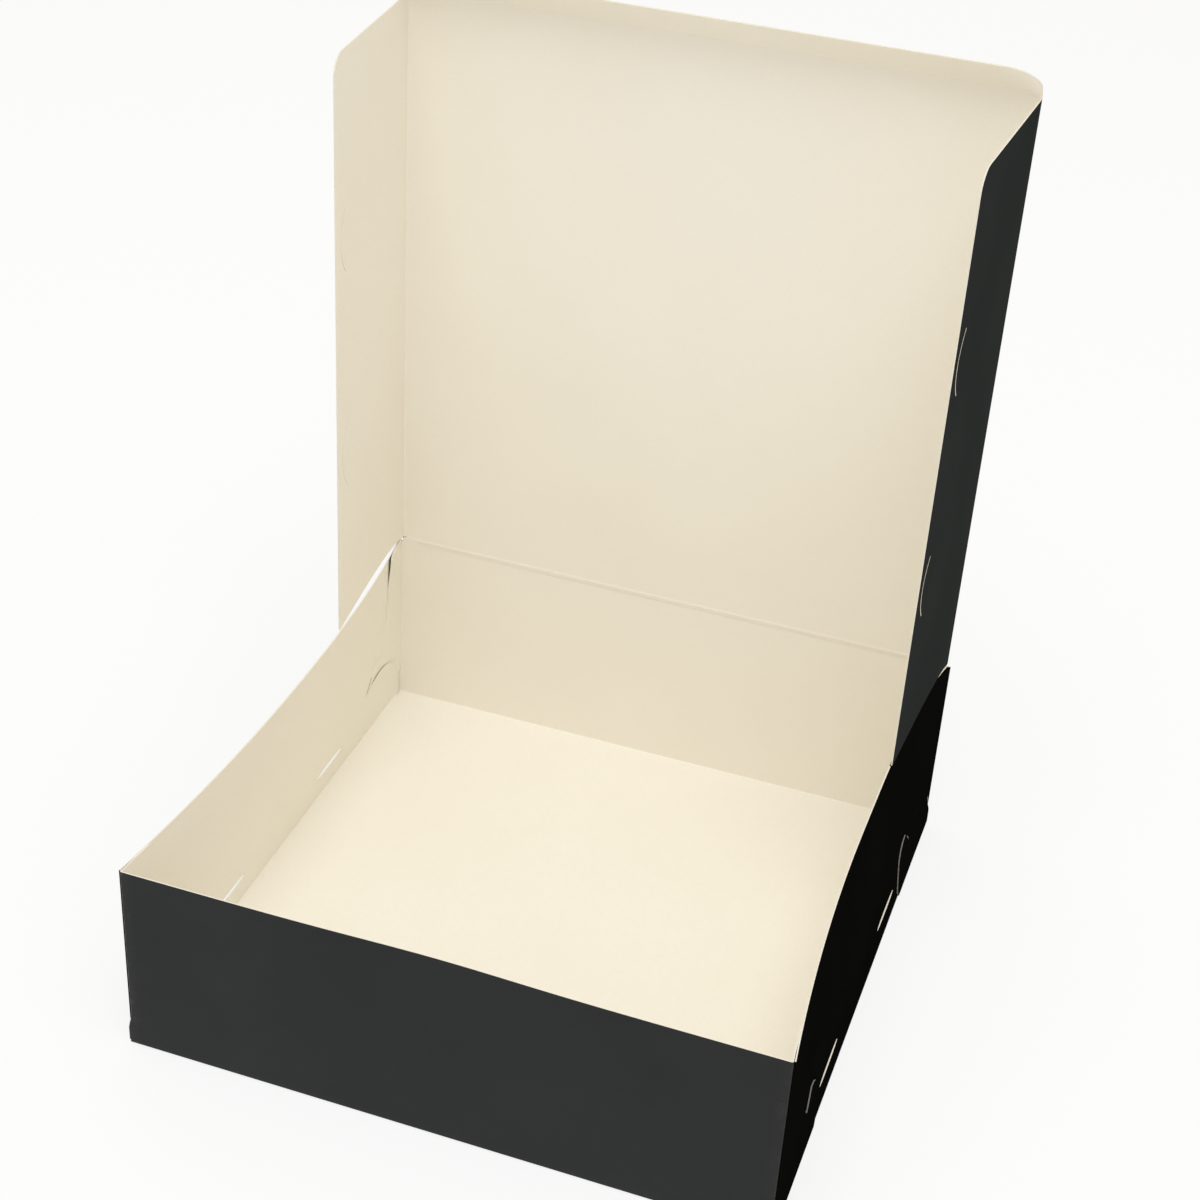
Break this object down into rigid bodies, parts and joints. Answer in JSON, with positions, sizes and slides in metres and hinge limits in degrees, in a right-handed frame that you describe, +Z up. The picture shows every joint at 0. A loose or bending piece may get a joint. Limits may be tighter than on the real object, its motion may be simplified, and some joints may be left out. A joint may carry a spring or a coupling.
{
  "type": "cake box",
  "caption": "Square folded board box with a hinged lid, for carrying a cake; corners lock by hooked tabs, side flaps and a tuck flap close the lid.",
  "frame": {"origin": "middle of the base's underside, where the box stands on the table", "axes": "+Z up, +Y to the back wall that carries the lid, +X to the right seen from the front"},
  "size_m": [0.3068, 0.305, 0.4192],
  "materials": {
    "board_black": "satin",
    "board_cream": "matte"
  },
  "bodies": {
    "tray": {"tray": "board_black"},
    "lid": {"lid_panel": "board_cream"},
    "left_flap": {"left_flap": "board_cream"},
    "right_flap": {"right_flap": "board_cream"},
    "tuck": {"tuck_flap": "board_cream"}
  },
  "joints": [
    {"name": "lid_hinge", "type": "hinge", "parent": "tray", "child": "lid", "pos_m": [0, 0.1522, 0.102], "axis": [-1, 0, 0], "range_deg": [-90, 90]},
    {"name": "left_flap_fold", "type": "hinge", "parent": "lid", "child": "left_flap", "pos_m": [-0.1502, 0.1522, 0.102], "axis": [0, 0, -1], "range_deg": [0, 94]},
    {"name": "right_flap_fold", "type": "hinge", "parent": "lid", "child": "right_flap", "pos_m": [0.1502, 0.1522, 0.102], "axis": [0, 0, 1], "range_deg": [0, 94]},
    {"name": "tuck_fold", "type": "hinge", "parent": "lid", "child": "tuck", "pos_m": [0, 0.1522, 0.4043], "axis": [-1, 0, 0], "range_deg": [-45, 45]}
  ],
  "couplings": [
    {"joint": "tuck_fold", "follows": "lid_hinge", "ratio": 0.5}
  ]
}
